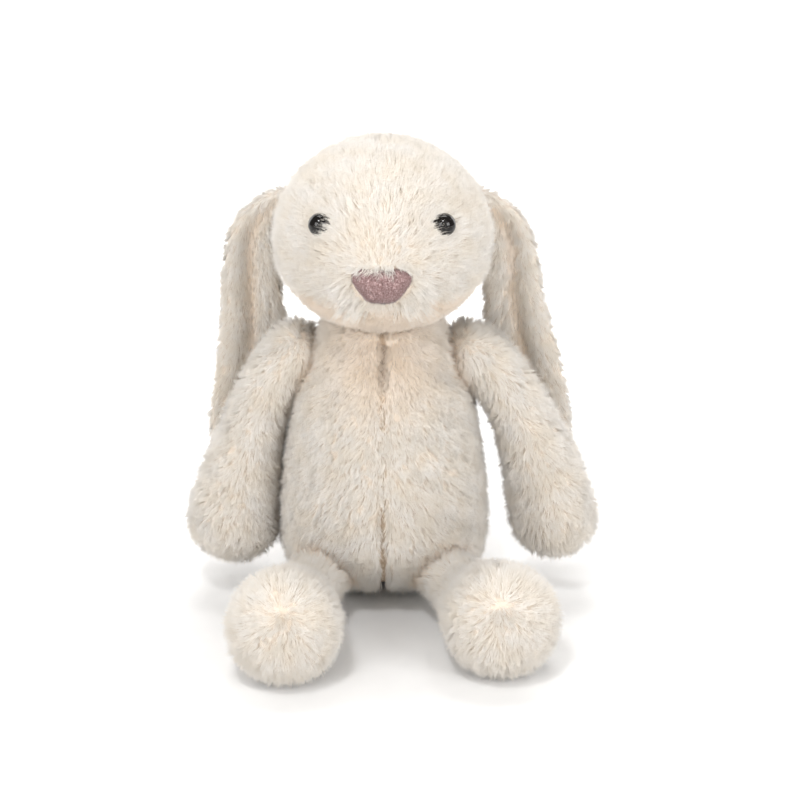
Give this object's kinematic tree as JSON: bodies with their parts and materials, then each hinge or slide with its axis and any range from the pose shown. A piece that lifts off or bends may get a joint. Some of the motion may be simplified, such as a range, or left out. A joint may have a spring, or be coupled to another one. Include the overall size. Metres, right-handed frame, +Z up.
{
  "type": "plush rabbit",
  "caption": "Seated plush rabbit with long hanging ears, round feet, domed eyes and a velour nose; head, ears, arms and legs move on soft sewn joints.",
  "frame": {"origin": "centre of the flat that the seat rests on", "axes": "+Z up, the face looks along -Y, +X is the side on the right when looking at the face"},
  "size_m": [0.1855, 0.1816, 0.215],
  "materials": {
    "plush": "long soft pile, matte with a slight sheen",
    "stuffing": "loose polyester fibre",
    "pellet_pouch": "woven pouch of plastic pellets",
    "thread": "twisted sewing thread",
    "nose": "short-nap velour",
    "eye": "polished",
    "washer": "moulded"
  },
  "bodies": {
    "torso": {"torso_cover": "plush", "torso_stuffing": "stuffing", "seat_pellet_pouch": "pellet_pouch", "front_seam_thread": "thread", "back_seam_thread": "thread", "tail_cover": "plush", "tail_stuffing": "stuffing"},
    "neck": {"neck_stuffing": "stuffing"},
    "head": {"head_cover": "plush", "head_stuffing": "stuffing", "nose_pad": "nose", "eye_left": "eye", "eye_right": "eye", "eye_washer_left": "washer", "eye_washer_right": "washer"},
    "ear_left": {"ear_left_front_panel": "plush", "ear_left_back_panel": "plush"},
    "arm_left": {"arm_left_cover": "plush", "arm_left_stuffing": "stuffing"},
    "leg_left": {"leg_left_cover": "plush", "leg_left_stuffing": "stuffing", "foot_left_pellet_pouch": "pellet_pouch"},
    "ear_right": {"ear_right_front_panel": "plush", "ear_right_back_panel": "plush"},
    "arm_right": {"arm_right_cover": "plush", "arm_right_stuffing": "stuffing"},
    "leg_right": {"leg_right_cover": "plush", "leg_right_stuffing": "stuffing", "foot_right_pellet_pouch": "pellet_pouch"}
  },
  "joints": [
    {"name": "head_turn", "type": "hinge", "parent": "torso", "child": "neck", "pos_m": [0, -0.008, 0.125], "axis": [0, 0, 1], "range_deg": [-7, 7]},
    {"name": "head_nod", "type": "hinge", "parent": "neck", "child": "head", "pos_m": [0, -0.008, 0.125], "axis": [1, 0, 0], "range_deg": [-4, 15]},
    {"name": "ear_left_lift", "type": "hinge", "parent": "head", "child": "ear_left", "pos_m": [-0.044, 0.008, 0.184], "axis": [0, 1, 0], "range_deg": [0, 80]},
    {"name": "ear_right_lift", "type": "hinge", "parent": "head", "child": "ear_right", "pos_m": [0.044, 0.008, 0.184], "axis": [0, -1, 0], "range_deg": [0, 80]},
    {"name": "arm_left_raise", "type": "hinge", "parent": "torso", "child": "arm_left", "pos_m": [-0.038, 0, 0.116], "axis": [-1, 0, 0], "range_deg": [0, 90]},
    {"name": "arm_right_raise", "type": "hinge", "parent": "torso", "child": "arm_right", "pos_m": [0.038, 0, 0.116], "axis": [-1, 0, 0], "range_deg": [0, 90]},
    {"name": "leg_left_swing", "type": "hinge", "parent": "torso", "child": "leg_left", "pos_m": [-0.025, -0.027, 0.022], "axis": [1, 0, 0], "range_deg": [-25, 85]},
    {"name": "leg_right_swing", "type": "hinge", "parent": "torso", "child": "leg_right", "pos_m": [0.025, -0.027, 0.022], "axis": [1, 0, 0], "range_deg": [-25, 85]}
  ]
}
